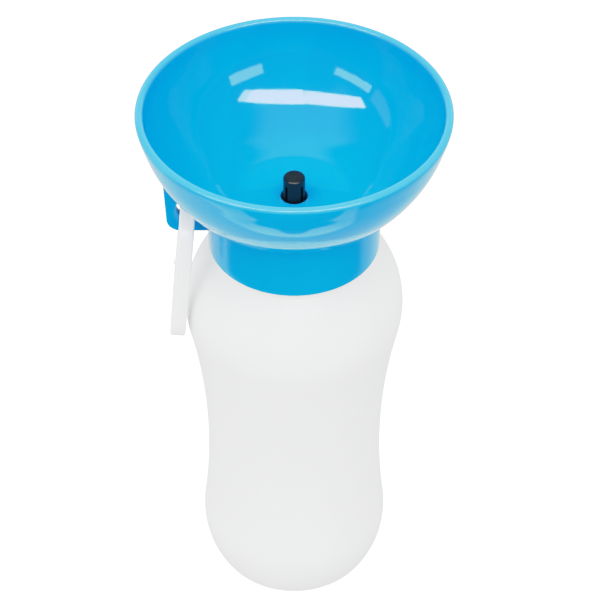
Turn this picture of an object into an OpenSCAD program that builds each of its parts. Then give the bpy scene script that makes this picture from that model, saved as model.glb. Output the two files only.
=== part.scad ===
// Dog travel water bottle: a squeeze bottle whose screw cap is a drinking bowl.
// Origin: centre of the base, on the surface the bottle stands on. +Z is up.
// -Y is the front, and the carabiner hangs on the -X side.

/* [Bottle] */
// Height of the bottle's body, up to the ledge under the cap
body_h = 161; // [152:1:190]
// Greatest radius of the shoulder
shoulder_r = 40.1; // [39:0.1:43]
// Depth of the shoulder's greatest radius below the ledge
shoulder_drop = 29; // [25:0.5:33]
// Radius of the arc that rounds the shoulder
shoulder_arc = 40.5; // [39:0.5:43]
// Radius of the long hollow arc that makes the waist
waist_arc = 300; // [240:5:360]
// Greatest radius of the foot
bulge_r = 35.8; // [34:0.1:38]
// Height of the foot's greatest radius
bulge_z = 22.7; // [20:0.1:26]
// Radius of the arc that rounds the foot
bulge_arc = 40.5; // [38:0.5:44]
// Fillet between the foot and the standing ring
base_fillet = 6.4; // [3:0.1:9]
// Width of the flat standing ring
ring_w = 3; // [2:0.1:5]
// Height of the hollow under the base
base_push = 3.5; // [2:0.1:6]
// Wall of the bottle
bottle_wall = 1.3; // [0.9:0.1:1.8]

/* [Neck] */
// Outer radius of the neck, between its threads
neck_r = 26.4; // [25:0.1:27.5]
// Wall of the neck
neck_wall = 1.8; // [1.2:0.1:2.4]
// Length of the neck above the ledge
neck_h = 16.6; // [15:0.1:20]
// How far the ledge stands out from the neck
ledge_w = 3.9; // [3.5:0.1:4.2]
// Thickness of the ledge
ledge_t = 1.2; // [1:0.1:1.6]
// Rise of the thread in one turn
pitch = 4; // [3.6:0.1:5]
// Height of both threads, from root to crest
thread_h = 1.4; // [1.1:0.1:1.5]
// Width of both threads at the root
thread_root_w = 2; // [1.6:0.1:2.2]
// Width of both threads at the crest
thread_crest_w = 0.9; // [0.7:0.1:1.2]
// Turns of the bottle's thread
neck_turns = 1.75; // [1.25:0.25:2]
// Turns of the cap's thread
cap_turns = 1.5; // [1:0.25:2]
// Gap between one thread's crest and the other's root
thread_gap = 0.4; // [0.3:0.05:0.6]

/* [Bowl and collar] */
// Greatest radius of the bowl, at its lip
rim_r = 55; // [52:0.5:60]
// Height above the lip of the point that the bowl's sides are round about
bowl_rise = 7.2; // [5:0.1:9]
// Height of the bowl's lip above its floor
bowl_depth = 39; // [36:0.5:42]
// Wall of the bowl
bowl_wall = 2.4; // [2:0.1:3]
// How far the lip's bead stands out from each side of the wall
lip_bead = 0.25; // [0.1:0.05:0.5]
// Radius of the curve between the bowl's side and its floor
floor_curve = 22; // [18:1:26]
// Thickness of the bowl's floor, which is the cap's roof
floor_t = 2.4; // [2:0.1:3]
// Wall of the collar, behind its thread
collar_wall = 2.75; // [2.2:0.05:3.2]
// Gap between the collar and the bottle's ledge
collar_gap = 0.4; // [0.3:0.1:1]
// Rounding of the collar's lower edge
collar_round = 0.8; // [0.4:0.1:1.2]
// Thickness of the gasket
gasket_t = 2; // [1.5:0.1:3]
// Gap round the gasket
gasket_gap = 0.3; // [0.2:0.1:0.5]

/* [Valve] */
// Radius of the hole in the bowl's floor
floor_hole_r = 4.8; // [4.6:0.1:5.2]
// Radius of the valve's insert
insert_r = 6; // [5.8:0.1:6.6]
// Length of the insert inside its boss
insert_h = 12; // [11.5:0.1:14]
// Wall of the boss that holds the insert
boss_wall = 2.2; // [1.6:0.1:3]
// Radius of the insert's flange
flange_r = 7.4; // [6.8:0.1:8]
// Thickness of the insert's flange
flange_t = 1.5; // [1.2:0.1:2]
// Thickness of the insert's top, which guides the nozzle
guide_t = 2; // [1.6:0.1:2.4]
// Radius of the chamber that the nozzle's flange slides in
chamber_r = 4.6; // [4.5:0.05:4.9]
// Radius of the seat that the nozzle's seal enters
seat_r = 2.7; // [2.5:0.05:3]
// Radius of the water way through the barb
bore_r = 1.7; // [1.4:0.1:2]
// Length of the barb below the flange
barb_h = 9; // [7:0.5:12]
// Radius of the barb's shank
barb_r = 3.1; // [2.9:0.1:3.4]
// How far each barb stands out
barb_step = 0.25; // [0.15:0.05:0.35]
// Radius of the nozzle
nozzle_r = 3.9; // [3.7:0.05:4]
// How far the open nozzle stands above the bowl's floor
nozzle_out = 8.8; // [8:0.1:10]
// Travel of the nozzle between open and shut
nozzle_travel = 4; // [3:0.1:4.2]
// Rounding of the nozzle's top edge
nozzle_round = 1.1; // [0.6:0.1:1.5]
// Width of the nozzle's flutes
flute_w = 1.4; // [1:0.1:1.8]
// Depth of the nozzle's flutes
flute_d = 1.1; // [0.8:0.1:1.4]
// How far below the nozzle's top the flutes begin
flute_top = 2.8; // [2:0.1:4]
// Thickness of the nozzle's flange
nozzle_flange_t = 1.2; // [1:0.1:1.4]
// Thickness of the nozzle's seal
nozzle_seal_t = 1.2; // [1:0.1:1.4]
// Height of the insert's seal
insert_seal_t = 1.5; // [1.2:0.1:1.8]
// Depth of the insert's seal, squeezed in its groove
insert_seal_d = 1; // [0.8:0.1:1.2]
// Clearance of everything that slides or turns in the valve
slide_gap = 0.08; // [0.03:0.01:0.1]
// Clearance round seals that are drawn unsqueezed
seal_gap = 0.03; // [0.02:0.01:0.05]
// Overlap of pieces that are pressed together
press = 0.02; // [0.01:0.01:0.04]

/* [Dip tube] */
// Outer radius of the tube
tube_r = 4.1; // [3.8:0.1:4.6]
// Gap between the tube's end and the base of the bottle
tube_gap = 4; // [2:0.5:10]

/* [Fin] */
// Thickness of the fin that the carabiner hangs on
fin_t = 3.5; // [2.5:0.1:4.5]
// How far the fin reaches from the axis
fin_reach = 47; // [46:0.1:49]
// How far the fin's outer edge draws in towards its foot
fin_draft = 1.2; // [0:0.1:2]
// Height of the fin's lower edge above the collar's
fin_up = 5.3; // [2:0.1:6.5]
// Rounding of the fin's lower corner
fin_round = 5; // [3:0.1:6]
// Gap between the fin's hole and the corners of the carabiner's bar
eye_gap = 0.48; // [0.4:0.02:0.8]
// Distance from the collar to the middle of the hole
eye_out = 6.95; // [6.5:0.05:8]
// Depth of the hole's middle below the bowl's underside
eye_down = 10.65; // [10:0.05:11.5]

/* [Carabiner] */
// Length of the carabiner
ring_l = 60; // [56:1:66]
// Width of the carabiner
ring_b = 31; // [30:0.5:34]
// Depth of its bar, in the plane of the ring
bar_d = 5; // [4.6:0.1:5.2]
// Thickness of its bar, across the ring
bar_t = 5.5; // [5:0.1:5.7]
// Rounding of the bar's edges
bar_round = 0.8; // [0.5:0.1:1.2]
// Slack of the bar in the fin's hole, below the hole's centre
eye_slack = 0.4; // [0.2:0.1:0.5]
// Gap between the carabiner's bars and the bottle's shoulder
rest_gap = 0.55; // [0.3:0.05:1]
// Distance from the top of the ring's straight to the gate's pin
pin_down = 2.5; // [2.2:0.1:3]
// How far the pin lies inside the middle of the bar
pin_in = 0.5; // [0.2:0.1:0.8]
// Radius of the gate's pin
pin_r = 0.75; // [0.6:0.05:0.9]
// Radius of the fork's cheeks round the pin
cheek_r = 2.5; // [2.3:0.1:2.6]
// Width of the slot between the cheeks
slot_w = 2.9; // [2.5:0.1:3.1]
// Wall in front of the slot
slot_wall = 0.9; // [0.7:0.1:1.1]
// Length of the gate's spring
spring_l = 4; // [3:0.1:5]
// Length of the gate, from its pin to its free end
gate_l = 14; // [12:0.5:16]
// Overlap of the nose's lip with the gate's end
nose_lap = 3; // [2:0.1:4]
// Thickness of the nose's lip
nose_t = 1.6; // [1.2:0.1:2]
// Clearance round the gate
gate_gap = 0.2; // [0.15:0.05:0.3]
// Radius of the gate's spring
spring_r = 1; // [0.8:0.05:1.1]
// Wire of the gate's spring
spring_wire = 0.3; // [0.2:0.05:0.4]

/* [Hidden] */
$fn = 96;

arc_steps = 20;      // points along each rounded stretch of a turned outline
thread_steps = 24;   // rings in one turn of a thread
thread_up = 5.2;     // height of the bottle's thread above the ledge, where it begins
thread_play = 0.35;  // gap under the bottle's thread, where the closed cap's thread lies
lip_steps = 16;      // points round the lip's bead
embed = 0.5;         // how deep a thread's root sits in its wall
eps = 0.01;          // how far a cut runs past the face it opens

// Heights, from the base up
neck_top = body_h + neck_h;
roof_z = neck_top + gasket_t;
floor_z = roof_z + floor_t;
lip_z = floor_z + bowl_depth;
collar_z = body_h + collar_gap;
shoulder_z = body_h - shoulder_drop;

// Threads and collar
bore_in = neck_r + thread_h + thread_gap;
collar_r = bore_in + collar_wall;
thread_z = body_h + thread_up;
thread_mean_w = (thread_root_w + thread_crest_w) / 2;
cap_thread_drop = thread_mean_w + thread_play;

// Bowl: both faces are round about one centre above the lip
lip_r = bowl_wall / 2 + lip_bead;
lip_c = [rim_r - lip_r, lip_z - lip_r];
bowl_cz = lip_z + bowl_rise;
bowl_mid = norm([lip_c[0], bowl_cz - lip_c[1]]);
bowl_arc = bowl_mid + bowl_wall / 2;
bowl_in = bowl_mid - bowl_wall / 2;
curve_c = [sqrt(pow(bowl_in - floor_curve, 2) - pow(bowl_cz - floor_z - floor_curve, 2)),
           floor_z + floor_curve];
collar_top = bowl_cz - sqrt(pow(bowl_arc, 2) - pow(collar_r, 2));

// Valve
boss_r = insert_r + boss_wall;
insert_z = roof_z - insert_h;
flange_z = insert_z - flange_t;
barb_z = flange_z - barb_h;
nozzle_top = floor_z + nozzle_out;
nozzle_flange_z = roof_z - guide_t - slide_gap - nozzle_flange_t;
nozzle_flange_r = chamber_r - slide_gap;
plug_r = seat_r - 2 * slide_gap;
plug_tip = 0.4;      // length of the plug below its seal
water_gap = 0.4;     // height of the gap that the open plug leaves over its seat
seat_top = nozzle_flange_z - nozzle_travel - slide_gap;
plug_z = seat_top + water_gap;
groove_z = plug_z + plug_tip + nozzle_seal_t / 2;
seat_floor = plug_z - nozzle_travel - water_gap;
groove_r = seat_r - nozzle_seal_t - 2 * seal_gap;
insert_groove_z = insert_z + insert_seal_t + 1;

// Fin and carabiner
fin_z = collar_z + fin_up;
eye_r = norm([bar_d, bar_t]) / 2 + eye_gap;
eye_x = collar_r + eye_out;
eye_z = bowl_cz - norm_side(bowl_arc, eye_x) - eye_down;
ring_r = (ring_b - bar_d) / 2;
leg_l = ring_l - ring_b;
ring_at = [-eye_x, 0, eye_z - eye_slack];
bar_front = -ring_r - bar_d / 2;
bar_back = -ring_r + bar_d / 2;
to_shoulder = [shoulder_arc - shoulder_r + eye_x, ring_at[2] - shoulder_z];
shoulder_way = norm(to_shoulder);
leg_clear = norm_side(shoulder_arc, bar_back) + bar_t / 2 + rest_gap;
low_in = 2 * ring_r + leg_l - bar_d / 2;
low_way = norm([2 * low_in, bar_t]);
low_clear = (pow(low_way / 2, 2) + pow(shoulder_way, 2) - pow(shoulder_arc + rest_gap, 2))
    / shoulder_way;
lean = max(asin(leg_clear / shoulder_way), atan2(bar_t, 2 * low_in) + acos(low_clear / low_way))
    - atan2(to_shoulder[0], to_shoulder[1]);
pin_y = -ring_r + pin_in;
pin_z = -ring_r - pin_down;
gate_end = pin_z - gate_l;
cheek_end = pin_z - cheek_r + 0.4;       // where the fork's front ends, above the gate's shoulder
gate_top = cheek_end - gate_gap;
nose_sweep = norm([pin_y - bar_front, pin_z - gate_end - nose_lap - gate_gap]) + gate_gap / 2;
slot_front = bar_front + slot_wall;
ledge_z = pin_z + pin_r + slide_gap + 0.2;
slot_top = ledge_z + spring_l;
spring_y = bar_back - spring_r - 0.1;

// Points of an arc about c, from angle a to angle b
function arc(c, r, a, b, n = arc_steps) =
    [for (i = [0:n]) let (t = a + (b - a) * i / n) c + r * [cos(t), sin(t)]];

function unit(v) = v / norm(v);

// The other short side of a right triangle
function norm_side(long, short) = sqrt(pow(long, 2) - pow(short, 2));

// A line of points moved sideways to its left by d
function shifted(p, d) =
    [for (i = [0:len(p) - 1])
        let (t = unit(p[min(i + 1, len(p) - 1)] - p[max(i - 1, 0)])) p[i] + d * [-t[1], t[0]]];

function reversed(p) = [for (i = [len(p) - 1:-1:0]) p[i]];

// Rectangle with rounded corners, centred
function round_box(w, h, r) =
    [for (k = [0:3]) let (s = [[1, 1], [-1, 1], [-1, -1], [1, -1]][k])
        each arc([s[0] * (w / 2 - r), s[1] * (h / 2 - r)], r, 90 * k, 90 * k + 90, 4)];

// The bottle's side: three arcs that run smoothly into each other
shoulder_c = [shoulder_r - shoulder_arc, shoulder_z];
bulge_c = [bulge_r - bulge_arc, bulge_z];
side = bulge_c - shoulder_c;
side_l = norm(side);
to_waist = (pow(shoulder_arc + waist_arc, 2) - pow(bulge_arc + waist_arc, 2) + pow(side_l, 2))
    / (2 * side_l);
waist_c = shoulder_c + side / side_l * to_waist
    + [-side[1], side[0]] / side_l * sqrt(pow(shoulder_arc + waist_arc, 2) - pow(to_waist, 2));
shoulder_end = asin((body_h - ledge_t - shoulder_z) / shoulder_arc);
shoulder_turn = atan2((waist_c - shoulder_c)[1], (waist_c - shoulder_c)[0]);
bulge_turn = atan2((waist_c - bulge_c)[1], (waist_c - bulge_c)[0]);
foot_turn = asin((base_fillet - bulge_z) / (bulge_arc - base_fillet));
foot_c = [bulge_c[0] + (bulge_arc - base_fillet) * cos(foot_turn), base_fillet];
ring_in = foot_c[0] - ring_w;
dome_r = (pow(ring_in, 2) + pow(base_push, 2)) / (2 * base_push);
dome_half = asin(ring_in / dome_r);

side_out = concat(
    arc([0, base_push - dome_r], dome_r, 90, 90 - dome_half, 10),
    arc(foot_c, base_fillet, -90, foot_turn, 12),
    arc(bulge_c, bulge_arc, foot_turn, bulge_turn),
    arc(waist_c, waist_arc, 180 + bulge_turn, 180 + shoulder_turn, 30),
    arc(shoulder_c, shoulder_arc, shoulder_turn, shoulder_end));

// A ridge that climbs round the axis, from radius root to radius crest, fading at both ends
module helix(root, crest, turns, z, from_turn) {
    n = round(turns * thread_steps);
    fade = thread_steps / 8;
    flat = root + (crest - root) * 0.1;
    rings = [for (i = [0:n])
        let (a = 360 * (i / thread_steps + from_turn),
             h = min(1, min(i, n - i) / fade),
             c = flat + (crest - flat) * h,
             w = thread_root_w + (thread_crest_w - thread_root_w) * h,
             zc = z + pitch * (i / thread_steps + from_turn))
        for (p = [[root, -thread_root_w / 2], [c, -w / 2], [c, w / 2], [root, thread_root_w / 2]])
            [p[0] * cos(a), p[0] * sin(a), zc + p[1]]];
    sides = [for (i = [0:n - 1], k = [0:3])
        let (a = 4 * i + k, b = 4 * i + (k + 1) % 4, c = b + 4, d = a + 4)
        each crest > root ? [[a, b, c], [a, c, d]] : [[a, c, b], [a, d, c]]];
    ends = crest > root
        ? [[0, 2, 1], [0, 3, 2], [4 * n, 4 * n + 1, 4 * n + 2], [4 * n, 4 * n + 2, 4 * n + 3]]
        : [[0, 1, 2], [0, 2, 3], [4 * n, 4 * n + 2, 4 * n + 1], [4 * n, 4 * n + 3, 4 * n + 2]];
    polyhedron(points = rings, faces = concat(sides, ends));
}

module bottle() {
    ledge_r = neck_r + ledge_w;
    inside = [for (p = shifted(side_out, bottle_wall)) [max(p[0], 0), p[1]]];
    color([0.94, 0.95, 0.95]) {
        rotate_extrude() polygon(concat(
            side_out,
            [[ledge_r - 0.2, body_h - ledge_t], [ledge_r, body_h - ledge_t + 0.2],
             [ledge_r, body_h - 0.2], [ledge_r - 0.2, body_h],
             [neck_r, body_h], [neck_r, neck_top - 0.3], [neck_r - 0.3, neck_top],
             [neck_r - neck_wall, neck_top], [neck_r - neck_wall, body_h + 0.8]],
            reversed(inside)));
        helix(neck_r - embed, neck_r + thread_h, neck_turns, thread_z, 0);
    }
}

module cap_gasket() {
    color([0.88, 0.9, 0.9]) translate([0, 0, neck_top]) difference() {
        cylinder(h = gasket_t, r = bore_in - gasket_gap);
        translate([0, 0, -eps]) cylinder(h = gasket_t + 2 * eps, r = neck_r - neck_wall);
    }
}

// Bowl, floor and collar in one outline
module bowl_outline() {
    lip_turn = asin((lip_c[1] - bowl_cz) / bowl_mid);
    bead = acos(bowl_wall / 2 / lip_r);
    lip = arc(lip_c, lip_r, lip_turn - bead, lip_turn + 180 + bead, lip_steps);
    out_turn = atan2(lip[0][1] - bowl_cz, lip[0][0]);
    in_turn = atan2(lip[lip_steps][1] - bowl_cz, lip[lip_steps][0]);
    curve_turn = atan2(curve_c[1] - bowl_cz, curve_c[0]);
    polygon(concat(
        [[floor_hole_r, roof_z], [bore_in, roof_z], [bore_in, collar_z + 0.4],
         [bore_in + 0.4, collar_z]],
        arc([collar_r - collar_round, collar_z + collar_round], collar_round, -90, 0, 5),
        [[collar_r, collar_top]],
        arc([0, bowl_cz], bowl_arc, -acos((collar_r + 0.05) / bowl_arc), out_turn, 32),
        lip,
        reversed(arc([0, bowl_cz], bowl_in, curve_turn, in_turn, 28)),
        reversed(arc(curve_c, floor_curve, -90, curve_turn, 14)),
        [[floor_hole_r, floor_z]]));
}

// Flat fin between the collar and the bowl, with the eye that the carabiner hangs in
module fin() {
    in_x = collar_r - 1;
    top_z = bowl_cz - sqrt(pow(bowl_mid, 2) - pow(fin_reach, 2));
    root_z = bowl_cz - sqrt(pow(bowl_mid, 2) - pow(in_x, 2));
    foot_x = fin_reach - fin_draft;
    underside = [for (i = [0:8]) let (x = fin_reach + (in_x - fin_reach) * i / 8)
        [x, bowl_cz - sqrt(pow(bowl_mid, 2) - pow(x, 2))]];
    difference() {
        rotate([90, 0, 180]) linear_extrude(height = fin_t, center = true)
            polygon(concat(
                [[in_x, fin_z]],
                arc([foot_x - fin_round, fin_z + fin_round], fin_round, -90, 0, 8),
                underside));
        translate([-eye_x, 0, eye_z]) rotate([90, 0, 0])
            cylinder(h = fin_t + 2, r = eye_r, center = true);
    }
}

module bowl_cap() {
    color([0.01, 0.6, 0.85]) {
        rotate_extrude() bowl_outline();
        translate([0, 0, insert_z]) difference() {
            cylinder(h = insert_h + 0.5, r = boss_r);
            translate([0, 0, -eps]) cylinder(h = insert_h + eps, r = insert_r);
            cylinder(h = insert_h + 1, r = floor_hole_r);
        }
        helix(bore_in + embed, bore_in - thread_h, cap_turns, thread_z - cap_thread_drop,
              neck_turns - cap_turns);
        fin();
    }
}

module valve_body() {
    barb = barb_h / 3;
    bed_r = insert_r - insert_seal_d - 2 * seal_gap;
    out_r = insert_r + press;
    color([0.07, 0.1, 0.12]) rotate_extrude() polygon(concat(
        [[nozzle_r + slide_gap, roof_z], [nozzle_r + slide_gap, roof_z - guide_t],
         [chamber_r, roof_z - guide_t], [chamber_r, seat_top],
         [seat_r, seat_top], [seat_r, seat_floor], [bore_r, seat_floor], [bore_r, barb_z],
         [barb_r - 0.5, barb_z]],
        [for (k = [0:2], p = [[barb_r, 0.5], [barb_r + barb_step, barb * 0.6], [barb_r, barb * 0.62]])
            [p[0], barb_z + k * barb + p[1]]],
        [[barb_r, flange_z], [flange_r - 0.3, flange_z], [flange_r, flange_z + 0.3],
         [flange_r, insert_z], [out_r, insert_z],
         [out_r, insert_groove_z - insert_seal_t / 2 - seal_gap],
         [bed_r, insert_groove_z - insert_seal_t / 2 - seal_gap],
         [bed_r, insert_groove_z + insert_seal_t / 2 + seal_gap],
         [out_r, insert_groove_z + insert_seal_t / 2 + seal_gap],
         [out_r, roof_z - 0.6], [insert_r - 0.4, roof_z]]));
}

module valve_body_o_ring() {
    half = insert_seal_d / 2;
    color([0.15, 0.15, 0.15]) translate([0, 0, insert_groove_z]) rotate_extrude()
        translate([insert_r - seal_gap - half, 0]) seal_section(half, insert_seal_t / 2);
}

// A squeezed seal's section, half_w wide and half_h high on each side of its middle
module seal_section(half_w, half_h) {
    polygon([for (a = [0:22.5:359]) [half_w * cos(a), half_h * sin(a)]]);
}

module nozzle() {
    seal = nozzle_seal_t / 2;
    color([0.07, 0.12, 0.15]) difference() {
        rotate_extrude() polygon(concat(
            [[0, plug_z], [plug_r - 0.3, plug_z], [plug_r, plug_z + 0.3],
             [plug_r, groove_z - seal - seal_gap], [groove_r, groove_z - seal - seal_gap],
             [groove_r, groove_z + seal + seal_gap], [plug_r, groove_z + seal + seal_gap],
             [plug_r, nozzle_flange_z], [nozzle_flange_r, nozzle_flange_z],
             [nozzle_flange_r, nozzle_flange_z + nozzle_flange_t],
             [nozzle_r, nozzle_flange_z + nozzle_flange_t]],
            arc([nozzle_r - nozzle_round, nozzle_top - nozzle_round], nozzle_round, 0, 90, 8),
            [[0, nozzle_top]]));
        for (k = [0:3]) rotate([0, 0, 45 + 90 * k])
            translate([nozzle_r - flute_d, -flute_w / 2, nozzle_flange_z - 1])
                cube([flute_d + 2, flute_w, nozzle_top - flute_top - nozzle_flange_z + 1]);
    }
}

module nozzle_o_ring() {
    seal = nozzle_seal_t / 2;
    color([0.15, 0.15, 0.15]) translate([0, 0, groove_z]) rotate_extrude()
        translate([seat_r - seal_gap - seal, 0]) circle(r = seal - seal_gap / 2, $fn = 32);
}

module dip_tube() {
    tube_z = base_push + bottle_wall + tube_gap;
    color([0.92, 0.94, 0.94]) difference() {
        translate([0, 0, tube_z]) cylinder(h = flange_z - tube_z, r = tube_r);
        translate([0, 0, tube_z - 1]) cylinder(h = flange_z - tube_z + 2, r = barb_r);
    }
}

// Places what is drawn about the carabiner's bar in the fin's eye
module at_ring() {
    translate(ring_at) rotate([0, lean, 0]) children();
}

// Half a turn of the bar, with its middle at the origin, bulging up
module ring_bend() {
    rotate([0, 90, 0]) rotate([0, 0, 90]) rotate_extrude(angle = 180)
        translate([ring_r, 0]) polygon(round_box(bar_d, bar_t, bar_round));
}

module leg(y, z, h, d = bar_d) {
    translate([0, y, z]) linear_extrude(height = h) polygon(round_box(bar_t, d, bar_round));
}

// A cylinder across the ring's thickness
module across(y, z, r, l) {
    translate([0, y, z]) rotate([0, 90, 0]) cylinder(h = l, r = r, center = true);
}

module carabiner_body() {
    low = -ring_r - leg_l;
    color([0.95, 0.95, 0.95]) at_ring() difference() {
        union() {
            translate([0, 0, -ring_r]) ring_bend();
            translate([0, 0, low]) rotate([180, 0, 0]) ring_bend();
            leg(ring_r, low, leg_l);
            leg(-ring_r, low, gate_end - gate_gap - low);
            difference() {
                intersection() {
                    leg(-ring_r, low, gate_end - low + nose_lap);
                    translate([-bar_t, bar_front - 1, low])
                        cube([2 * bar_t, nose_t + 1, gate_end - low + nose_lap]);
                }
                across(pin_y, pin_z, nose_sweep, bar_t + 2);
            }
            difference() {
                leg(-ring_r, cheek_end, -ring_r - cheek_end);
                translate([-bar_t, pin_y, cheek_end - 1])
                    cube([2 * bar_t, bar_d, pin_z - cheek_end + 1]);
            }
            across(pin_y, pin_z, cheek_r, bar_t);
        }
        translate([-slot_w / 2, slot_front, pin_z - bar_d])
            cube([slot_w, 2 * bar_d, slot_top - pin_z + bar_d]);
        across(pin_y, pin_z, pin_r - press / 2, bar_t + 2);
    }
}

module carabiner_gate() {
    tongue_w = slot_w - 2 * gate_gap;
    color([0.95, 0.95, 0.95]) at_ring() difference() {
        union() {
            difference() {
                leg(-ring_r, gate_end, gate_top - gate_end);
                across(pin_y, pin_z, cheek_r + gate_gap, bar_t + 2);
            }
            across(pin_y, pin_z, pin_y - slot_front - gate_gap, tongue_w);
            translate([-tongue_w / 2, slot_front + gate_gap + 0.5, gate_top - 1.5])
                cube([tongue_w, bar_back - bar_round - slot_front - gate_gap - 0.5,
                      pin_z - gate_top + 1.5]);
            translate([-tongue_w / 2, pin_y, gate_top])
                cube([tongue_w, bar_back - pin_y, ledge_z - gate_top]);
        }
        translate([-bar_t, bar_front - 1, gate_end - 1])
            cube([2 * bar_t, nose_t + gate_gap + 1, 1 + nose_lap + gate_gap]);
        translate([-bar_t, spring_y - spring_r - gate_gap, ledge_z])
            cube([2 * bar_t, bar_d, bar_d]);
        across(pin_y, pin_z, pin_r + slide_gap / 2, bar_t + 2);
    }
}

module gate_pin() {
    color([0.7, 0.7, 0.72]) at_ring() across(pin_y, pin_z, pin_r, bar_t);
}

module gate_spring() {
    color([0.7, 0.7, 0.72]) at_ring() translate([0, spring_y, ledge_z]) difference() {
        cylinder(h = slot_top - ledge_z, r = spring_r);
        translate([0, 0, -1]) cylinder(h = slot_top - ledge_z + 2, r = spring_r - spring_wire);
    }
}

bottle();
cap_gasket();
bowl_cap();
valve_body();
valve_body_o_ring();
nozzle();
nozzle_o_ring();
dip_tube();
carabiner_body();
carabiner_gate();
gate_pin();
gate_spring();
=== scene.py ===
"""Dog travel water bottle: a frosted squeeze bottle under a screw-on drinking bowl,
with a push-pull spout in the bowl's floor and a carabiner hanging in its fin."""
from math import asin, atan2, cos, degrees, hypot, pi, radians, sin, sqrt

import bpy
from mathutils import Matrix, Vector


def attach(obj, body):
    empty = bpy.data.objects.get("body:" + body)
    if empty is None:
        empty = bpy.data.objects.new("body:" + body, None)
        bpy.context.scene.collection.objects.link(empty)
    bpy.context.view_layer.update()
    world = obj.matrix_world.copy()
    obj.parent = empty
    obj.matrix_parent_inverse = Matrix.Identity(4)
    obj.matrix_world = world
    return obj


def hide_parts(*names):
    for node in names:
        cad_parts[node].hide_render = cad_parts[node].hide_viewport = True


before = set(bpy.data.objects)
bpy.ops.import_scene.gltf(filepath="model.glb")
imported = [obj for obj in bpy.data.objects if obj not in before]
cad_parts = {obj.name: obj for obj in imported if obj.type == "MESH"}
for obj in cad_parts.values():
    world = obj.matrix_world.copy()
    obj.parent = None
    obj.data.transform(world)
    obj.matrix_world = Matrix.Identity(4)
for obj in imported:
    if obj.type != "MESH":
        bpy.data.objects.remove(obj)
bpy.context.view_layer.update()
MM = 0.001
ON_PLANE = 1e-6             # metres within which a point counts as lying on a plane

# ---------------------------------------------------------------- sizes, in millimetres
# Centres of arcs are pairs of radius and height. Most sizes are those of the part's source.
# bottle
BODY_H, LEDGE_T, LEDGE_W, LEDGE_ROUND = 161.0, 1.2, 3.9, 0.35
NECK_R, NECK_WALL, NECK_TOP, MOUTH_ROUND = 26.4, 1.8, 177.6, 0.3
NECK_FILLET, NECK_FILLET_MID, BORE_FOOT = 0.4, 0.12, 0.8
SHOULDER_C, SHOULDER_ARC = (-0.4, 132.0), 40.5
BULGE_C, BULGE_ARC = (-4.7, 22.7), 40.5
WAIST_C, WAIST_ARC = (333.269, 64.1385), 300.0
FOOT_C, FOOT_R = (25.252, 6.4), 6.4
RING_IN, BASE_PUSH, BOTTLE_WALL = 22.252, 3.5, 1.3
# bowl, collar and fin
COLLAR_Z, COLLAR_R, COLLAR_ROUND, COLLAR_FILLET = 161.4, 30.95, 0.8, 1.2
BORE_R, BORE_LEAD_W, BORE_LEAD_H = 28.2, 0.35, 0.5
ROOF_Z, FLOOR_Z, HOLE_R, HOLE_ROUND = 179.6, 182.0, 4.8, 0.3
BOWL_CZ, BOWL_ARC, BOWL_IN = 228.2, 55.444, 53.044
CURVE_C, CURVE_R = (19.445, 204.0), 22.0
LIP_C, LIP_R, LIP_EASE = (53.55, 219.55), 1.45, 6.2       # the ease is in degrees
COLLAR_STEPS, FLOOR_STEPS = (165.0, 170.0, 175.0), (16.0, 12.0, 8.0)
FIN_T, FIN_REACH, FIN_DRAFT, FIN_Z, FIN_ROUND = 3.5, 47.0, 1.2, 166.7, 5.0
FIN_ROOT, FIN_EDGE = 1.2, 0.45
EYE_X, EYE_Z, EYE_R = 37.9, 177.08, 4.2
BOSS_IN, BOSS_OUT, BOSS_LOW, BOSS_HIGH, BOSS_EDGE = 6.0, 8.2, 167.6, 179.9, 0.2
# threads
PITCH, THREAD_Z, NECK_TURNS, CAP_TURNS = 4.0, 166.2, 1.75, 1.5
RIDGE_FOOT_W, RIDGE_TOP_W, RIDGE_GAP = 2.0, 0.9, 0.35
RIDGE_SINK, RIDGE_H, RIDGE_FADE = 0.4, 1.4, 7.0
# spout, seals and gasket
SPOUT_R, SPOUT_TOP, SPOUT_ROUND, SPOUT_STEPS = 3.9, 190.8, 1.1, (181.0, 185.0)
DISH = ((2.2, 0.02), (1.2, 0.07), (0, 0.09))              # radius and depth below the top
PLUG_Z, PLUG_R, PLUG_LEAD_W, PLUG_LEAD_H = 172.64, 2.54, 0.34, 0.3
GROOVE_R, GROOVE_LOW, GROOVE_HIGH = 1.44, 173.01, 174.27
FLANGE_R, FLANGE_LOW, FLANGE_HIGH, FLANGE_EDGE = 4.52, 176.32, 177.52, 0.12
FLUTES, FLUTE_W, FLUTE_IN, FLUTE_OUT, FLUTE_ROUND = 4, 1.4, 1.1, 1.5, 0.3
FLUTE_LOW, FLUTE_DOWN = 175.3, 2.8
SPOUT_SEAL, INSERT_SEAL = (2.07, 173.64, 0.585, 0.585), (5.47, 170.1, 0.5, 0.75)
GASKET_IN, GASKET_OUT, GASKET_FLAT, GASKET_EDGE = 24.62, 27.85, (24.9, 27.6), 0.25
GASKET_GROOVE_R, GASKET_GROOVE = 26.4, 0.2
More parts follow.
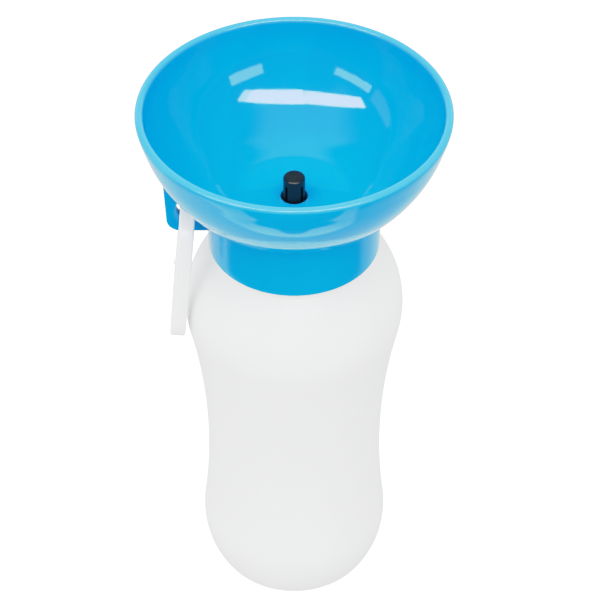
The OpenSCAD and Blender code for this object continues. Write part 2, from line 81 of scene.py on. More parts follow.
# carabiner, drawn about the bar in the eye
RING_AT, LEAN = (-37.9, 0.0, 176.682), radians(5.51255)
RING_R, LEG_L, BAR_D, BAR_T, BAR_ROUND = 13.0, 29.0, 5.0, 5.5, 0.8
BAR_FRONT, BAR_BACK = -RING_R - BAR_D / 2, -RING_R + BAR_D / 2
PIN_Y, PIN_Z, PIN_R, PIN_SHORT, PIN_ROUND = -12.5, -15.5, 0.75, 0.3, 0.2
HOOK_HOLE_R, GATE_HOLE_R = 0.76, 0.79
GATE_END, GATE_TOP, GATE_GAP, FRONT_GAP = -29.5, -17.8, 0.2, 0.005
CHEEK_R, CHEEK_ROUND, APRON_UP = 2.5, 0.35, 0.8
NOSE_LAP, NOSE_T = 1.6, 1.6
SLOT_W, SLOT_FRONT, SLOT_LOW, SLOT_HIGH = 2.9, -14.6, -20.5, -9.47
TONGUE_R, TONGUE_FRONT, TONGUE_LEDGE, TONGUE_LAP, TONGUE_BACK = 1.9, -13.9, -14.47, 1.5, 0.8
SPRING_Y, SPRING_R, WIRE_R, SPRING_GAP = -11.6, 0.85, 0.15, 0.17
SPRING_TURNS, SPRING_L, SPRING_STEPS = 6, 3.66, 144
CUT_WIDE, CUT_PAST = 4, 1                                 # how far cutters reach past the bar


# ---------------------------------------------------------------- modelling by hand, in small steps
def only(obj):
    bpy.ops.object.select_all(action="DESELECT")
    obj.select_set(True)
    bpy.context.view_layer.objects.active = obj


def edit(mode="VERT"):
    # set before edit mode begins, or a choice of edges spreads over their vertices
    settings = bpy.context.scene.tool_settings
    settings.mesh_select_mode = [mode == kind for kind in ("VERT", "EDGE", "FACE")]
    bpy.ops.object.mode_set(mode="EDIT")
    bpy.ops.mesh.select_mode(type=mode)


def done():
    bpy.ops.object.mode_set(mode="OBJECT")


def select_all():
    bpy.ops.mesh.select_all(action="SELECT")


def face_outwards():
    """Turns every face's normal outwards, and leaves edit mode."""
    select_all()
    bpy.ops.mesh.normals_make_consistent(inside=False)
    done()


def named(name):
    obj = bpy.context.object
    obj.name = obj.data.name = name
    return obj


def settle(obj):
    """Puts the piece's place into its mesh."""
    only(obj)
    bpy.ops.object.transform_apply(location=True, rotation=True, scale=True)


def turn_about_axis(obj, angle):
    only(obj)
    bpy.ops.transform.rotate(value=angle, orient_axis="Z", orient_type="GLOBAL",
                             center_override=(0, 0, 0))


def pick(obj, test, kind="vertices"):
    """Selects the vertices, edges or faces whose middle passes a test, and nothing else."""
    done()
    mesh = obj.data
    for group in (mesh.vertices, mesh.edges, mesh.polygons):
        for item in group:
            item.select = False
    for item in getattr(mesh, kind):
        if kind == "vertices":
            middle = item.co
        elif kind == "edges":
            middle = (mesh.vertices[item.vertices[0]].co + mesh.vertices[item.vertices[1]].co) / 2
        else:
            middle = item.center
        item.select = bool(test(middle, item))
    edit({"vertices": "VERT", "edges": "EDGE", "polygons": "FACE"}[kind])


def apply_all(obj):
    only(obj)
    for modifier in list(obj.modifiers):
        bpy.ops.object.modifier_apply(modifier=modifier.name)


def smooth(obj, angle=35):
    only(obj)
    bpy.ops.object.shade_smooth_by_angle(angle=radians(angle))


def soft_edges(obj, width, segments=4, angle=40):
    """Rounds every edge that is sharper than an angle, in degrees."""
    soft = obj.modifiers.new("edges", "BEVEL")
    soft.width, soft.segments = width * MM, segments
    soft.limit_method, soft.angle_limit = "ANGLE", radians(angle)
    apply_all(obj)
    return obj


def round_edges(obj, test, width, segments):
    """Rounds the edges whose middle passes a test."""
    pick(obj, test, "edges")
    bpy.ops.mesh.bevel(offset=width * MM, segments=segments)
    done()


def arc(centre, radius, start, end, steps):
    """Points of an arc, angles in degrees, as pairs of radius and height."""
    turns = [radians(start + (end - start) * i / steps) for i in range(steps + 1)]
    return [(centre[0] + radius * cos(turn), centre[1] + radius * sin(turn)) for turn in turns]


def trace(name, points, y=0.0):
    """Draws one point out along a line of places, and stays in edit mode."""
    bpy.ops.mesh.primitive_plane_add(size=MM, location=(0, 0, 0))
    obj = named(name)
    edit()
    select_all()
    bpy.ops.mesh.merge(type="CENTER")
    bpy.ops.transform.translate(value=(points[0][0] * MM, y * MM, points[0][1] * MM))
    for a, b in zip(points, points[1:]):
        bpy.ops.mesh.extrude_region_move(
            TRANSFORM_OT_translate={"value": ((b[0] - a[0]) * MM, 0, (b[1] - a[1]) * MM)})
    return obj


def turned(name, outline, steps=192, closed=True):
    """A turned piece: the outline is spun round the axis."""
    same_place, weld = 0.004, 0.002
    clean = [outline[0]]
    for p in outline[1:]:
        if hypot(p[0] - clean[-1][0], p[1] - clean[-1][1]) > same_place:
            clean.append(p)
    obj = trace(name, clean)
    if closed:
        pick(obj, lambda co, v: v.index in (0, len(clean) - 1))
        bpy.ops.mesh.edge_face_add()
    select_all()
    bpy.ops.mesh.spin(steps=steps, angle=2 * pi, center=(0, 0, 0), axis=(0, 0, 1))
    select_all()
    bpy.ops.mesh.remove_doubles(threshold=weld * MM)
    face_outwards()
    return obj


def block(name, low, high):
    """A box between two corners, in millimetres."""
    bpy.ops.mesh.primitive_cube_add(size=1, location=[(a + b) / 2 * MM for a, b in zip(low, high)])
    obj = named(name)
    obj.scale = [(b - a) * MM for a, b in zip(low, high)]
    settle(obj)
    return obj


def rod(name, at, radius, length, turn=(0, pi / 2, 0), sides=64):
    """A round rod about a middle point, across the hook unless turned otherwise."""
    bpy.ops.mesh.primitive_cylinder_add(vertices=sides, radius=radius * MM, depth=length * MM,
                                        location=[c * MM for c in at], rotation=turn)
    obj = named(name)
    settle(obj)
    return obj


def combine(obj, other, how="UNION"):
    """Joins or cuts with another shape, which is used up."""
    only(obj)
    boolean = obj.modifiers.new("combine", "BOOLEAN")
    boolean.operation, boolean.object, boolean.solver = how, other, "EXACT"
    bpy.ops.object.modifier_apply(modifier=boolean.name)
    bpy.data.objects.remove(other)
    return obj


def cap_ends():
    """Fills the open ends of a wound section, and stays in edit mode."""
    edit("EDGE")
    bpy.ops.mesh.select_all(action="DESELECT")
    bpy.ops.mesh.select_non_manifold(extend=False, use_wire=False, use_boundary=True,
                                     use_multi_face=False, use_non_contiguous=False,
                                     use_verts=False)
    bpy.ops.mesh.edge_face_add()


def helix(name, root, crest, turns, start_z, start_turn):
    """A thread's ridge: its section is screwed round the axis, and both ends sink into the wall."""
    steps_per_turn, sunk, reach = 96, 0.92, 0.1
    bpy.ops.mesh.primitive_plane_add(size=MM, location=(0, 0, 0))
    obj = named(name)
    corners = [(root, -RIDGE_FOOT_W / 2), (crest, -RIDGE_TOP_W / 2),
               (crest, RIDGE_TOP_W / 2), (root, RIDGE_FOOT_W / 2)]
    in_order = [obj.data.vertices[i] for i in (0, 1, 3, 2)]
    for vertex, (r, z) in zip(in_order, corners):
        vertex.co = (r * MM, 0, (start_z + z) * MM)
    edit("EDGE")
    select_all()
    bpy.ops.mesh.delete(type="ONLY_FACE")
    done()
    screw = obj.modifiers.new("thread", "SCREW")
    screw.axis, screw.angle, screw.screw_offset = "Z", 2 * pi * turns, PITCH * MM * turns
    screw.steps = screw.render_steps = round(steps_per_turn * turns)
    screw.use_merge_vertices = False
    apply_all(obj)
    cap_ends()
    inward = (root - crest) * sunk * MM
    for at, z in ((0.0, start_z), (2 * pi * turns, start_z + PITCH * turns)):
        spot = Vector((crest * cos(at), crest * sin(at), z)) * MM
        pick(obj, lambda co, v: (co - spot).length < (RIDGE_TOP_W / 2 + reach) * MM)
        bpy.ops.transform.translate(value=(inward * cos(at), inward * sin(at), 0),
                                    use_proportional_edit=True, proportional_edit_falloff="SMOOTH",
                                    proportional_size=RIDGE_FADE * MM)
    edit("FACE")
    face_outwards()
    turn_about_axis(obj, 2 * pi * start_turn)
    obj.location.z += PITCH * start_turn * MM
    settle(obj)
    return obj


# ---------------------------------------------------------------- materials
MIX_A, MIX_B, MIX_OUT = 6, 7, 2         # the sockets of a mix node that carry colours


def new_group(name, inputs, outputs):
    tree = bpy.data.node_groups.new(name, "ShaderNodeTree")
    for label, kind, default in inputs:
        socket = tree.interface.new_socket(name=label, in_out="INPUT", socket_type=kind)
        socket.default_value = default
    for label, kind in outputs:
        tree.interface.new_socket(name=label, in_out="OUTPUT", socket_type=kind)
    return tree, tree.nodes.new("NodeGroupInput"), tree.nodes.new("NodeGroupOutput")


def node(tree, kind, **values):
    """A new node, with its settings, or else its inputs, set by name."""
    made = tree.nodes.new(kind)
    for key, value in values.items():
        if hasattr(made, key):
            setattr(made, key, value)
        else:
            made.inputs[key.replace("_", " ")].default_value = value
    return made


def ramp(tree, source, low, high, to_low=0.0, to_high=1.0):
    """A value carried from one range to another."""
    made = node(tree, "ShaderNodeMapRange")
    tree.links.new(source, made.inputs["Value"])
    ends = (("From Min", low), ("From Max", high), ("To Min", to_low), ("To Max", to_high))
    for label, value in ends:
        made.inputs[label].default_value = value
    return made.outputs["Result"]


def product(tree, first, second):
    made = node(tree, "ShaderNodeMath", operation="MULTIPLY")
    tree.links.new(first, made.inputs[0])
    tree.links.new(second, made.inputs[1])
    return made.outputs[0]


def mixed(tree, factor, first, second):
    """A mix of two colours, the first of which may come out of another node."""
    made = node(tree, "ShaderNodeMix", data_type="RGBA")
    tree.links.new(factor, made.inputs[0])
    if isinstance(first, tuple):
        made.inputs[MIX_A].default_value = (*first, 1)
    else:
        tree.links.new(first, made.inputs[MIX_A])
    made.inputs[MIX_B].default_value = (*second, 1)
    return made.outputs[MIX_OUT]


def raised(tree, mask, value, amount):
    """A value raised by an amount where a mask says."""
    made = node(tree, "ShaderNodeMath", operation="MULTIPLY_ADD")
    made.inputs[1].default_value = amount
    tree.links.new(mask, made.inputs[0])
    tree.links.new(value, made.inputs[2])
    return made.outputs[0]


def moulded_skin():
    """Fine skin of a moulded plastic: a faint pebble, slow waves, and a mask of slow change."""
    tree, into, out = new_group(
        "moulded skin",
        [("Pebble Scale", "NodeSocketFloat", 900.0), ("Pebble Height", "NodeSocketFloat", 0.1),
         ("Wave Scale", "NodeSocketFloat", 30.0), ("Wave Height", "NodeSocketFloat", 0.1)],
        [("Normal", "NodeSocketVector"), ("Mask", "NodeSocketFloat")])
    place = node(tree, "ShaderNodeTexCoord").outputs["Object"]
    pebble = node(tree, "ShaderNodeTexNoise", Detail=3.0, Roughness=0.55)
    wave = node(tree, "ShaderNodeTexNoise", Detail=1.5, Roughness=0.4)
    slow = node(tree, "ShaderNodeTexNoise", Scale=22.0, Detail=2.0, Roughness=0.5)
    for noise in (pebble, wave, slow):
        tree.links.new(place, noise.inputs["Vector"])
    tree.links.new(into.outputs["Pebble Scale"], pebble.inputs["Scale"])
    tree.links.new(into.outputs["Wave Scale"], wave.inputs["Scale"])
    first = node(tree, "ShaderNodeBump", Distance=0.001)
    second = node(tree, "ShaderNodeBump", Distance=0.0002)
    for bump, noise, height in ((first, wave, "Wave Height"), (second, pebble, "Pebble Height")):
        tree.links.new(noise.outputs["Fac"], bump.inputs["Height"])
        tree.links.new(into.outputs[height], bump.inputs["Strength"])
    tree.links.new(first.outputs["Normal"], second.inputs["Normal"])
    tree.links.new(second.outputs["Normal"], out.inputs["Normal"])
    tree.links.new(ramp(tree, slow.outputs["Fac"], 0.35, 0.65), out.inputs["Mask"])
    return tree


def handling_marks():
    """Scattered hairline scuffs, as a mask."""
    tree, into, out = new_group(
        "handling marks",
        [("Scale", "NodeSocketFloat", 60.0), ("Amount", "NodeSocketFloat", 0.5)],
        [("Mask", "NodeSocketFloat")])
    place = node(tree, "ShaderNodeTexCoord").outputs["Object"]
    stretch = node(tree, "ShaderNodeMapping", Scale=(1.0, 1.0, 0.12), Rotation=(0.35, 0.2, 0.5))
    tree.links.new(place, stretch.inputs["Vector"])
    lines = node(tree, "ShaderNodeTexNoise", Detail=4.0, Roughness=0.6, Distortion=0.6)
    tree.links.new(stretch.outputs["Vector"], lines.inputs["Vector"])
    tree.links.new(into.outputs["Scale"], lines.inputs["Scale"])
    patches = node(tree, "ShaderNodeTexNoise", Scale=35.0, Detail=1.0)
    tree.links.new(place, patches.inputs["Vector"])
    scattered = product(tree, ramp(tree, lines.outputs["Fac"], 0.60, 0.66),
                        ramp(tree, patches.outputs["Fac"], 0.45, 0.7))
    tree.links.new(product(tree, scattered, into.outputs["Amount"]), out.inputs["Mask"])
    return tree


def edge_wear_and_highlight():
    """A broken mask along outer edges and rims, where hands and bags rub, which also carries a
    painted edge highlight.
    """
    tree, into, out = new_group("edge wear and painted highlight", [("Width", "NodeSocketFloat", 0.0004)],
                                [("Mask", "NodeSocketFloat")])
    rounded = node(tree, "ShaderNodeBevel", samples=6)
    tree.links.new(into.outputs["Width"], rounded.inputs["Radius"])
    flat = node(tree, "ShaderNodeVectorMath", operation="DOT_PRODUCT")
    tree.links.new(rounded.outputs["Normal"], flat.inputs[0])
    tree.links.new(node(tree, "ShaderNodeNewGeometry").outputs["Normal"], flat.inputs[1])
    speckle = node(tree, "ShaderNodeTexNoise", Scale=260.0, Detail=3.0)
    tree.links.new(node(tree, "ShaderNodeTexCoord").outputs["Object"], speckle.inputs["Vector"])
    rubbed_and_highlit = product(tree, ramp(tree, flat.outputs["Value"], 0.995, 0.93),
                     ramp(tree, speckle.outputs["Fac"], 0.3, 0.6, 0.35, 1.0))
    tree.links.new(rubbed_and_highlit, out.inputs["Mask"])
    return tree


SKIN, MARKS, WEAR_AND_HIGHLIGHT = moulded_skin(), handling_marks(), edge_wear_and_highlight()
SKIN_INPUTS = ("Pebble Scale", "Pebble Height", "Wave Scale", "Wave Height")


def plastic(name, light, dark, rough, rough_spread, skin, marks, fixed, worn_and_highlit=None, rim=None):
    """A material whose colour and gloss change slowly, with fine relief and light scuffs.

    skin has the values of SKIN_INPUTS and marks a scale and an amount. worn_and_highlit has the
    width of scuffed edges in metres, their colour, which is partly a painted edge highlight, and
    their added roughness. rim has the heights in metres between which a scuffed lip begins, its
    colour, which is a painted highlight along the lip, and its added roughness.
    """
    material = bpy.data.materials.new(name)
    material.use_nodes = True
    tree = material.node_tree
    shader = next(n for n in tree.nodes if n.type == "BSDF_PRINCIPLED")
    for label, value in fixed.items():
        shader.inputs[label].default_value = value
    relief = node(tree, "ShaderNodeGroup", node_tree=SKIN)
    for label, value in zip(SKIN_INPUTS, skin):
        relief.inputs[label].default_value = value
    scuffs = node(tree, "ShaderNodeGroup", node_tree=MARKS)
    scuffs.inputs["Scale"].default_value, scuffs.inputs["Amount"].default_value = marks
    colour = mixed(tree, relief.outputs["Mask"], light, dark)
    gloss = ramp(tree, relief.outputs["Mask"], 0, 1, rough, rough + rough_spread)
    # lighter edges: partly wear, partly a painted edge highlight
    if worn_and_highlit:
        width, tone, duller = worn_and_highlit
        edges = node(tree, "ShaderNodeGroup", node_tree=WEAR_AND_HIGHLIGHT)
        edges.inputs["Width"].default_value = width
        colour = mixed(tree, edges.outputs["Mask"], colour, tone)
        gloss = raised(tree, edges.outputs["Mask"], gloss, duller)
    # the rim colour is a painted highlight along the lip; the added roughness is a scuffed lip
    if rim:
        low, high, tone, duller = rim
        place = node(tree, "ShaderNodeSeparateXYZ")
        tree.links.new(node(tree, "ShaderNodeTexCoord").outputs["Object"], place.inputs[0])
        above = ramp(tree, place.outputs["Z"], low, high)
        colour = mixed(tree, above, colour, tone)
        gloss = raised(tree, above, gloss, duller)
    tree.links.new(colour, shader.inputs["Base Color"])
    total = node(tree, "ShaderNodeMath", operation="ADD", use_clamp=True)
    tree.links.new(gloss, total.inputs[0])
    tree.links.new(scuffs.outputs["Mask"], total.inputs[1])
    tree.links.new(total.outputs[0], shader.inputs["Roughness"])
    tree.links.new(relief.outputs["Normal"], shader.inputs["Normal"])
    return material


def milky(weight, depth):
    """Light that goes into a plastic, to a depth in metres."""
    return {"Subsurface Weight": weight, "Subsurface Radius": (1.0, 1.0, 1.0),
            "Subsurface Scale": depth}


BLUE = plastic("glossy blue plastic", light=(0.0, 0.286, 0.605), dark=(0.0, 0.278, 0.59),
               rough=0.04, rough_spread=0.02, skin=(1500, 0.02, 45, 0.035), marks=(70, 0.05),
               # lighter edges, partly wear and partly a painted edge highlight
               fixed={"IOR": 1.49}, worn_and_highlit=(0.0006, (0.06, 0.37, 0.67), 0.10),
               # the rim colour is a painted highlight along the lip
               rim=(0.2194, 0.2205, (0.05, 0.295, 0.615), 0.10))
FROSTED = plastic("frosted bottle plastic", light=(0.83, 0.85, 0.84), dark=(0.815, 0.835, 0.825),
                  rough=0.42, rough_spread=0.08, skin=(2600, 0.25, 40, 0.05), marks=(90, 0.06),
                  fixed={"IOR": 1.5, **milky(0.35, 0.003)})
WHITE = plastic("satin white plastic", light=(0.87, 0.87, 0.87), dark=(0.85, 0.85, 0.855),
                rough=0.28, rough_spread=0.10, skin=(1800, 0.12, 120, 0.06), marks=(120, 0.08),
                fixed={"IOR": 1.49})
BLACK = plastic("satin black plastic", light=(0.006, 0.014, 0.020), dark=(0.004, 0.009, 0.013),
                rough=0.26, rough_spread=0.12, skin=(2200, 0.25, 200, 0.08), marks=(160, 0.12),
                # lighter edges, partly wear and partly a painted glint
                fixed={"IOR": 1.5}, worn_and_highlit=(0.0003, (0.03, 0.04, 0.045), 0.0))
SILICONE = plastic("milky silicone", light=(0.70, 0.74, 0.74), dark=(0.62, 0.67, 0.67),
                   rough=0.5, rough_spread=0.12, skin=(1200, 0.25, 90, 0.1), marks=(90, 0.05),
                   fixed={"IOR": 1.41, **milky(0.4, 0.002)})
RUBBER = plastic("black rubber", light=(0.022, 0.022, 0.022), dark=(0.014, 0.014, 0.014),
                 rough=0.55, rough_spread=0.15, skin=(2400, 0.4, 150, 0.1), marks=(150, 0.1),
                 fixed={"IOR": 1.52})
TUBE = plastic("milky tube", light=(0.74, 0.78, 0.78), dark=(0.68, 0.73, 0.73),
               rough=0.3, rough_spread=0.1, skin=(900, 0.1, 60, 0.1), marks=(60, 0.1),
               fixed={"IOR": 1.5, **milky(0.5, 0.002)})
STEEL = plastic("drawn steel", light=(0.62, 0.62, 0.64), dark=(0.48, 0.48, 0.50),
                rough=0.22, rough_spread=0.14, skin=(3000, 0.2, 400, 0.1), marks=(200, 0.15),
                fixed={"Metallic": 1.0})


def finish_piece(obj, material, body, slot, *stands_for, angle=35):
    obj.data.materials.clear()
    obj.data.materials.append(material)
    smooth(obj, angle)
    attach(obj, body)
    if stands_for:
        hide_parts(*stands_for)
    return obj


# ---------------------------------------------------------------- bottle
def bearing(start, end):
    """The direction from one point to another, in degrees."""
    return degrees(atan2(end[1] - start[1], end[0] - start[0]))


def bottle_side():
    """The outside of the bottle, from the middle of its base to the ledge."""
    dome_r = (RING_IN ** 2 + BASE_PUSH ** 2) / (2 * BASE_PUSH)
    dome_half = degrees(asin(RING_IN / dome_r))
    foot_turn = degrees(asin((FOOT_R - BULGE_C[1]) / (BULGE_ARC - FOOT_R)))
    bulge_turn = bearing(BULGE_C, WAIST_C)
    shoulder_turn = bearing(SHOULDER_C, WAIST_C)
    shoulder_end = degrees(asin((BODY_H - LEDGE_T - SHOULDER_C[1]) / SHOULDER_ARC))
    points = arc((0, BASE_PUSH - dome_r), dome_r, 90, 90 - dome_half, 12)
    points += arc(FOOT_C, FOOT_R, -90, foot_turn, 14)
    points += arc(BULGE_C, BULGE_ARC, foot_turn, bulge_turn, 30)[1:]
    points += arc(WAIST_C, WAIST_ARC, 180 + bulge_turn, 180 + shoulder_turn, 44)[1:]
    points += arc(SHOULDER_C, SHOULDER_ARC, shoulder_turn, shoulder_end, 36)[1:]
    return points


def inner_side(side, wall):
    """The side moved inwards by the wall."""
    moved = []
    for i, p in enumerate(side):
        a, b = side[max(i - 1, 0)], side[min(i + 1, len(side) - 1)]
        tx, tz = b[0] - a[0], b[1] - a[1]
        length = hypot(tx, tz)
        moved.append((max(p[0] - wall * tz / length, 0.0), p[1] + wall * tx / length))
    return moved


def bottle_outline():
    side = bottle_side()
    ledge_in = NECK_R + LEDGE_W - LEDGE_ROUND
    overlap = 0.02
    points = side + [(ledge_in, BODY_H - LEDGE_T - overlap)]
    points += arc((ledge_in, BODY_H - LEDGE_T + LEDGE_ROUND), LEDGE_ROUND, -80, 0, 4)
    points += arc((ledge_in, BODY_H - LEDGE_ROUND), LEDGE_ROUND, 0, 90, 4)
    points += [(NECK_R + NECK_FILLET, BODY_H),
               (NECK_R + NECK_FILLET_MID, BODY_H + NECK_FILLET_MID),
               (NECK_R, BODY_H + NECK_FILLET)]
    round_z = NECK_TOP - MOUTH_ROUND
    points += arc((NECK_R - MOUTH_ROUND, round_z), MOUTH_ROUND, 0, 90, 4)
    points += arc((NECK_R - NECK_WALL + MOUTH_ROUND, round_z), MOUTH_ROUND, 90, 180, 4)
    points += [(NECK_R - NECK_WALL, BODY_H + BORE_FOOT)]
    return points + inner_side(side, BOTTLE_WALL)[::-1]


bottle = turned("bottle_shell", bottle_outline(), steps=224, closed=False)
neck_thread = helix("bottle_thread", NECK_R - RIDGE_SINK, NECK_R + RIDGE_H, NECK_TURNS,
                    THREAD_Z, 0)
finish_piece(bottle, FROSTED, "bottle", "bottle", "bottle", angle=40)
finish_piece(neck_thread, FROSTED, "bottle", "bottle", angle=40)


# ---------------------------------------------------------------- bowl, collar and fin, one piece
def easing(start, start_way, end, end_way, steps=8):
    """Points of a smooth curve that leaves one point and meets another in given directions."""
    reach = hypot(end[0] - start[0], end[1] - start[1])
    points = []
    for i in range(1, steps + 1):
        t = i / steps
        h = (2 * t ** 3 - 3 * t ** 2 + 1, t ** 3 - 2 * t ** 2 + t,
             3 * t ** 2 - 2 * t ** 3, t ** 3 - t ** 2)
        points.append(tuple(h[0] * start[k] + h[1] * reach * start_way[k]
                            + h[2] * end[k] + h[3] * reach * end_way[k] for k in (0, 1)))
    return points


def along(turn, sign=1):
    """The direction of an arc where it has turned to an angle, forwards or backwards."""
    return (-sign * sin(radians(turn)), sign * cos(radians(turn)))


def bowl_outline():
    middle = (0, BOWL_CZ)
    lip_turn = degrees(asin((LIP_C[1] - BOWL_CZ) / ((BOWL_ARC + BOWL_IN) / 2)))
    lip = arc(LIP_C, LIP_R, lip_turn, lip_turn + 180, 20)
    under = lip_turn - LIP_EASE
    points = [(HOLE_R, ROOF_Z), (BORE_R - COLLAR_ROUND, ROOF_Z)]
    points += arc((BORE_R - COLLAR_ROUND, ROOF_Z - COLLAR_ROUND), COLLAR_ROUND, 90, 0, 4)[1:]
    points += [(BORE_R, COLLAR_Z + BORE_LEAD_H), (BORE_R + BORE_LEAD_W, COLLAR_Z)]
    points += arc((COLLAR_R - COLLAR_ROUND, COLLAR_Z + COLLAR_ROUND), COLLAR_ROUND, -90, 0, 8)
    points += [(COLLAR_R, z) for z in COLLAR_STEPS]
    # small fillet between the collar and the bowl's round underside
    fillet_x = COLLAR_R + COLLAR_FILLET
    fillet_z = BOWL_CZ - sqrt((BOWL_ARC + COLLAR_FILLET) ** 2 - fillet_x ** 2)
    meet = degrees(atan2(BOWL_CZ - fillet_z, -fillet_x))
    start = degrees(atan2(fillet_z - BOWL_CZ, fillet_x))
    points += arc((fillet_x, fillet_z), COLLAR_FILLET, 180, meet, 6)
    points += arc(middle, BOWL_ARC, start, under, 40)[1:]
    points += easing(points[-1], along(under), lip[0], along(lip_turn))
    points += lip[1:]
    curve_turn = degrees(atan2(CURVE_C[1] - BOWL_CZ, CURVE_C[0]))
    wall = arc(middle, BOWL_IN, curve_turn, under, 40)[::-1]
    points += easing(lip[-1], along(lip_turn, -1), wall[0], along(under, -1))
    points += wall[1:]
    points += arc(CURVE_C, CURVE_R, -90, curve_turn, 24)[::-1][1:]
    points += [(r, FLOOR_Z) for r in FLOOR_STEPS]
    points += arc((HOLE_R + HOLE_ROUND, FLOOR_Z - HOLE_ROUND), HOLE_ROUND, 90, 180, 4)
    return points


def fin_blank():
    """The flat fin with its drawn-in outer edge, rounded lower corner and carabiner's hole."""
    in_x, steps = COLLAR_R - FIN_ROOT, 12
    foot = FIN_REACH - FIN_DRAFT
    mid = (BOWL_ARC + BOWL_IN) / 2
    across = [FIN_REACH + (in_x - FIN_REACH) * i / steps for i in range(steps + 1)]
    rim = [(in_x, FIN_Z)]
    rim += arc((foot - FIN_ROUND, FIN_Z + FIN_ROUND), FIN_ROUND, -90, 0, 14)
    rim += [(x, BOWL_CZ - sqrt(mid ** 2 - x ** 2)) for x in across]
    obj = trace("fin_blank", [(-x, z) for x, z in rim], y=-FIN_T / 2)
    select_all()
    bpy.ops.mesh.edge_face_add()
    bpy.ops.mesh.extrude_region_move(TRANSFORM_OT_translate={"value": (0, FIN_T * MM, 0)})
    face_outwards()
    eye = rod("eye_cut", (-EYE_X, 0, EYE_Z), EYE_R, FIN_T * 3, turn=(pi / 2, 0, 0), sides=72)
    combine(obj, eye, "DIFFERENCE")
    return soft_edges(obj, FIN_EDGE, 3, 50)


bowl = turned("bowl_and_collar", bowl_outline(), steps=224)
combine(bowl, fin_blank())
finish_piece(bowl, BLUE, "cap", "bowl", "bowl_cap", angle=32)

boss_outline = [(BOSS_IN, BOSS_LOW), (BOSS_OUT - BOSS_EDGE, BOSS_LOW),
                (BOSS_OUT, BOSS_LOW + BOSS_EDGE), (BOSS_OUT, BOSS_HIGH), (BOSS_IN, BOSS_HIGH)]
boss = turned("insert_boss", boss_outline, steps=96)
finish_piece(boss, BLUE, "cap", "bowl")
cap_thread_z = THREAD_Z - (RIDGE_FOOT_W + RIDGE_TOP_W) / 2 - RIDGE_GAP
cap_thread = helix("cap_thread", BORE_R + RIDGE_SINK, BORE_R - RIDGE_H, CAP_TURNS,
                   cap_thread_z, NECK_TURNS - CAP_TURNS)
finish_piece(cap_thread, BLUE, "cap", "bowl", angle=40)

# ---------------------------------------------------------------- spout
spout_outline = [(0, PLUG_Z), (PLUG_R - PLUG_LEAD_W, PLUG_Z), (PLUG_R, PLUG_Z + PLUG_LEAD_H),
                 (PLUG_R, GROOVE_LOW), (GROOVE_R, GROOVE_LOW), (GROOVE_R, GROOVE_HIGH),
                 (PLUG_R, GROOVE_HIGH), (PLUG_R, FLANGE_LOW),
                 (FLANGE_R - FLANGE_EDGE, FLANGE_LOW), (FLANGE_R, FLANGE_LOW + FLANGE_EDGE),
                 (FLANGE_R, FLANGE_HIGH - FLANGE_EDGE), (FLANGE_R - FLANGE_EDGE, FLANGE_HIGH),
                 (SPOUT_R, FLANGE_HIGH)]
spout_outline += [(SPOUT_R, z) for z in SPOUT_STEPS]
spout_outline += arc((SPOUT_R - SPOUT_ROUND, SPOUT_TOP - SPOUT_ROUND), SPOUT_ROUND, 0, 80, 9)
spout_outline += [(r, SPOUT_TOP - depth) for r, depth in DISH]
spout = turned("push_pull_spout", spout_outline, steps=128, closed=False)
flute_x, flute_z = SPOUT_R - FLUTE_IN, SPOUT_TOP - FLUTE_DOWN
for k in range(FLUTES):
    cutter = block("flute", (flute_x, -FLUTE_W / 2, FLUTE_LOW),
                   (SPOUT_R + FLUTE_OUT, FLUTE_W / 2, flute_z))
    round_edges(cutter, lambda co, e: abs(co.z - flute_z * MM) < ON_PLANE
                or abs(co.x - flute_x * MM) < ON_PLANE, FLUTE_ROUND, 3)
    turn_about_axis(cutter, radians(45 + 360 / FLUTES * k))
    settle(cutter)
    combine(spout, cutter, "DIFFERENCE")
finish_piece(spout, BLACK, "spout", "black", "nozzle", angle=32)


# ---------------------------------------------------------------- seals and gasket
def ring(name, radius, at_z, half_w, half_h, sides=20):
    turns = [2 * pi * i / sides for i in range(sides)]
    return turned(name, [(radius + half_w * cos(turn), at_z + half_h * sin(turn))
                         for turn in turns], steps=128)


spout_seal = ring("spout_seal", *SPOUT_SEAL)
finish_piece(spout_seal, RUBBER, "spout", "seal", "nozzle_o_ring", angle=60)
insert_seal = ring("insert_seal", *INSERT_SEAL)
finish_piece(insert_seal, RUBBER, "cap", "seal", "valve_body_o_ring", angle=60)

flat_in, flat_out = GASKET_FLAT
gasket_outline = [(flat_in, NECK_TOP), (flat_out, NECK_TOP),
                  (GASKET_OUT, NECK_TOP + GASKET_EDGE), (GASKET_OUT, ROOF_Z - GASKET_EDGE),
                  (flat_out, ROOF_Z), (GASKET_GROOVE_R + GASKET_GROOVE, ROOF_Z),
                  (GASKET_GROOVE_R, ROOF_Z - GASKET_GROOVE),
                  (GASKET_GROOVE_R - GASKET_GROOVE, ROOF_Z), (flat_in, ROOF_Z),
                  (GASKET_IN, ROOF_Z - GASKET_EDGE), (GASKET_IN, NECK_TOP + GASKET_EDGE)]
gasket = turned("neck_gasket", gasket_outline, steps=160)
finish_piece(gasket, SILICONE, "cap_seal", "silicone", "cap_gasket")


# ---------------------------------------------------------------- carabiner
def hang(obj):
    """Leans a piece that is drawn about the bar in the eye, and hangs it there."""
    only(obj)
    obj.rotation_euler = (0, LEAN, 0)
    obj.location = [c * MM for c in RING_AT]
    settle(obj)
    return obj


